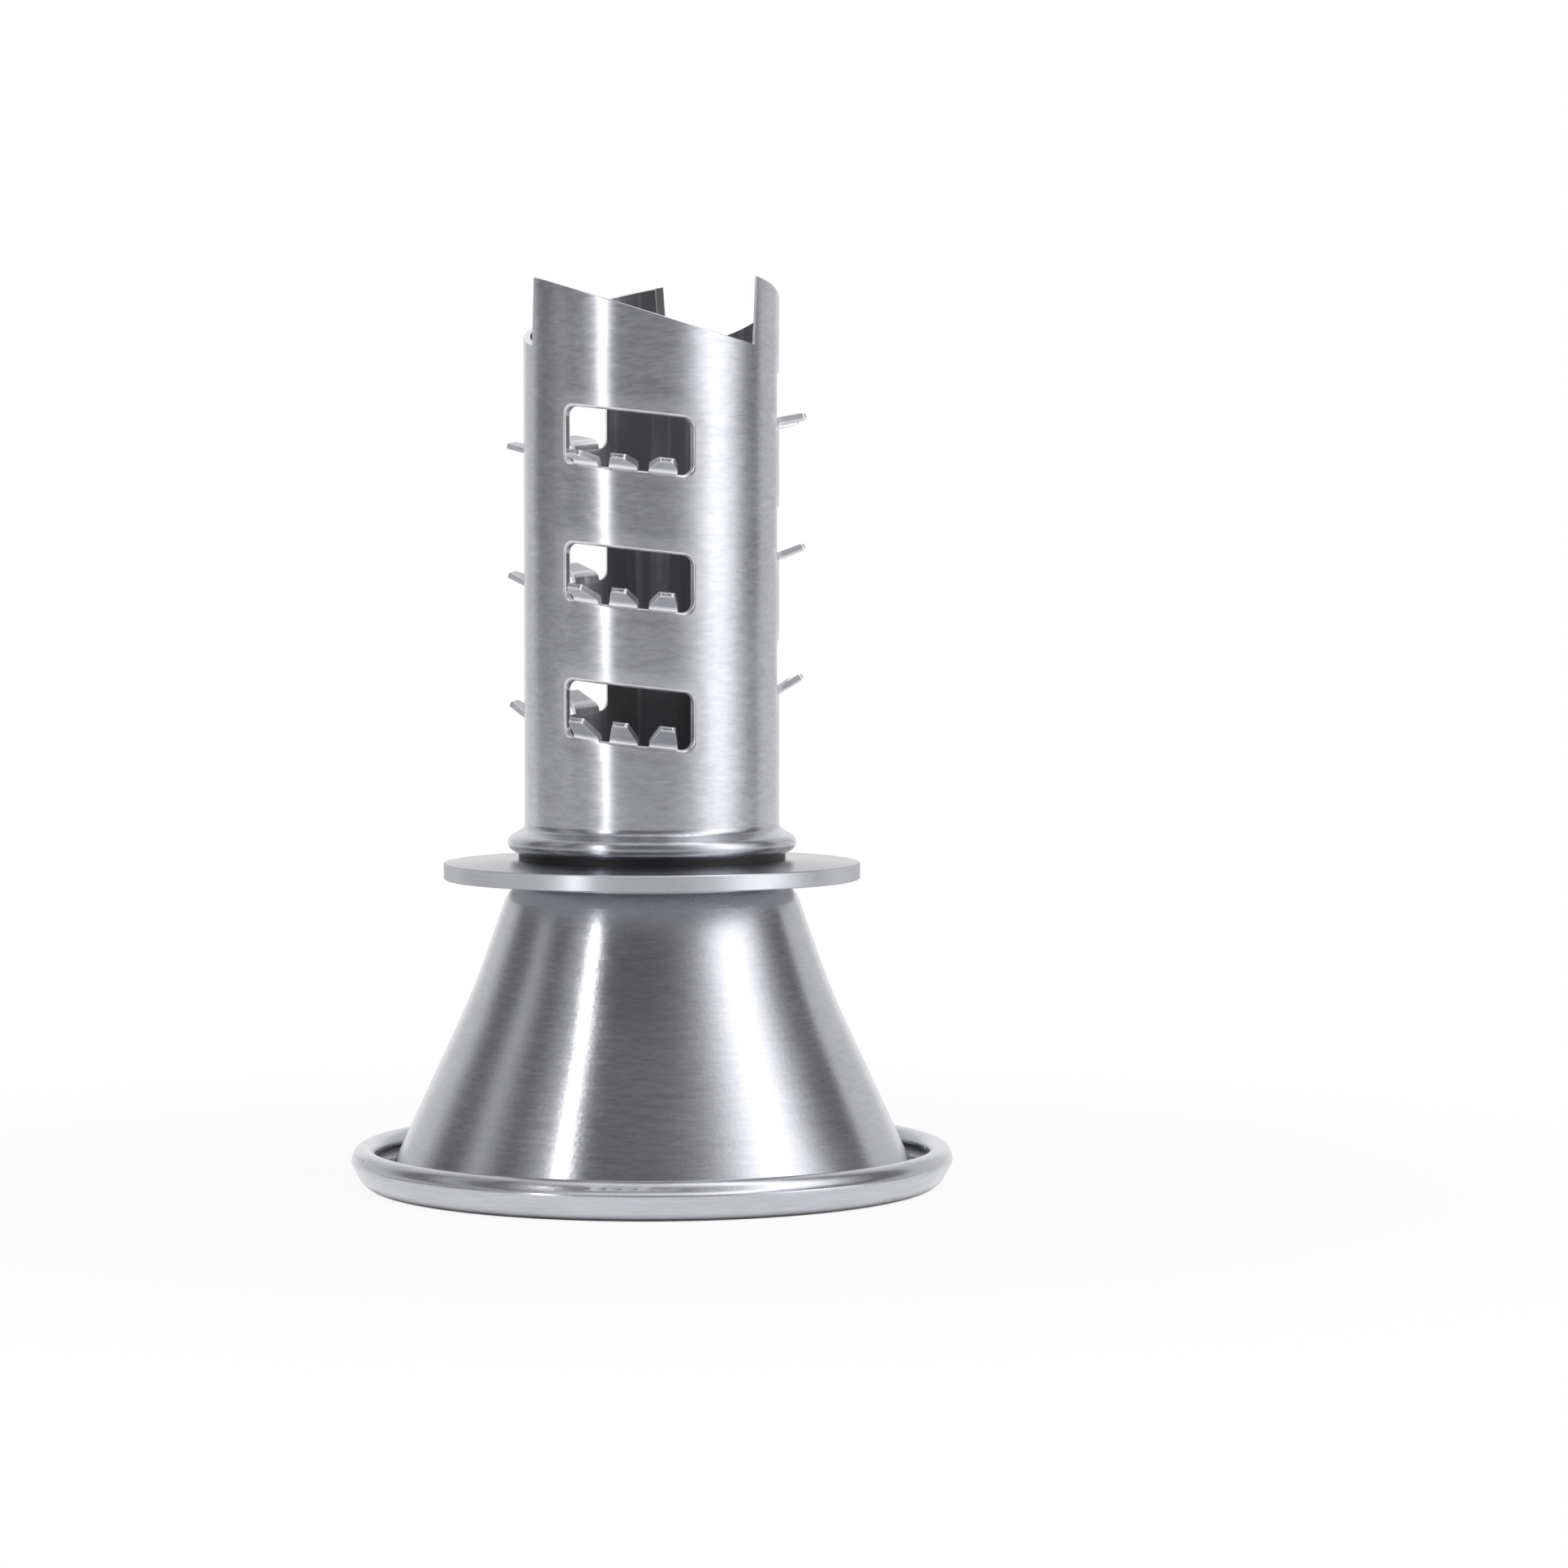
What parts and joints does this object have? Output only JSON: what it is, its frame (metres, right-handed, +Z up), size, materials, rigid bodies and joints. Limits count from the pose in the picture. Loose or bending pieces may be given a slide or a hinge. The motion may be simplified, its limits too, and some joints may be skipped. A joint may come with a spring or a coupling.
{
  "type": "screw-in citrus juicer",
  "caption": "Stainless screw-in citrus juicer: toothed coring tube with slanted windows, stop disc, and a flared bell that serves as grip, spout and foot.",
  "frame": {"origin": "centre of the foot, on the surface that the juicer stands on", "axes": "+Z up along the axis, towards the crown; the first column of windows faces -Y"},
  "size_m": [0.0752, 0.0752, 0.1127],
  "materials": {
    "tube_steel": "brushed round the tube",
    "seal_silicone": "black silicone, satin",
    "strainer_steel": "satin",
    "sleeve_steel": "turned",
    "disc_steel": "polished faces, turned edge",
    "bell_steel": "spun and brushed round the skirt"
  },
  "bodies": {
    "bell": {"trumpet_bell": "bell_steel", "neck_sleeve": "sleeve_steel", "stop_disc": "disc_steel"},
    "tube": {"coring_tube": "tube_steel", "seal_ring": "seal_silicone"},
    "strainer": {"pip_strainer": "strainer_steel"}
  },
  "joints": [
    {"name": "tube_lift", "type": "slide", "parent": "bell", "child": "tube", "axis": [0, 0, 1], "range_m": [0, 0.025]},
    {"name": "strainer_lift", "type": "slide", "parent": "tube", "child": "strainer", "axis": [0, 0, 1], "range_m": [0, 0.09]}
  ]
}
